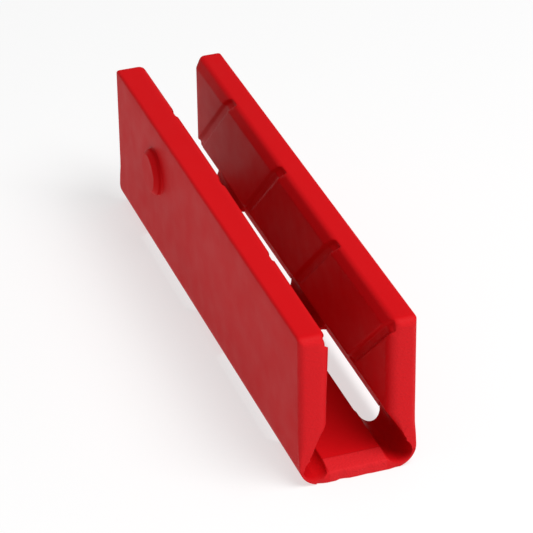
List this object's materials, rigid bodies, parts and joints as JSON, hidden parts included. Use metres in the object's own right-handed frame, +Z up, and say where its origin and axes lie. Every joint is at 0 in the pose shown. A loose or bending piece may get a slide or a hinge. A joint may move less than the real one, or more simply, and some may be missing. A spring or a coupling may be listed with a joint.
{
  "type": "edge tuning tool",
  "caption": "Hand-squeezed channel-shaped holder with two grooved jaws on film hinges, for tuning ski and snowboard edges.",
  "frame": {"origin": "middle of the underside of the floor", "axes": "+Z up, out of the open channel; Y along the tool, -Y at the front end; X across the jaws"},
  "size_m": [0.0268, 0.122, 0.035],
  "materials": {
    "body": "satin moulded plastic, fine texture",
    "film": "satin moulded plastic, thinned to a flexible film"
  },
  "bodies": {
    "base": {"base": "body", "left_hinge_front": "film", "left_hinge_middle": "film", "left_hinge_rear": "film", "right_hinge_front": "film", "right_hinge_middle": "film", "right_hinge_rear": "film"},
    "left_jaw": {"left_jaw": "body", "side_stud": "body"},
    "right_jaw": {"right_jaw": "body"}
  },
  "joints": [
    {"name": "left_jaw_flex", "type": "hinge", "parent": "base", "child": "left_jaw", "pos_m": [-0.01122, 0, 0.00187], "axis": [0, 1, 0], "range_deg": [-8, 9], "stiffness_Nm_per_rad": 0.8, "deforming": ["left_hinge_front", "left_hinge_middle", "left_hinge_rear"]},
    {"name": "right_jaw_flex", "type": "hinge", "parent": "base", "child": "right_jaw", "pos_m": [0.01122, 0, 0.00187], "axis": [0, -1, 0], "range_deg": [-8, 9], "stiffness_Nm_per_rad": 0.8, "deforming": ["right_hinge_front", "right_hinge_middle", "right_hinge_rear"]}
  ]
}
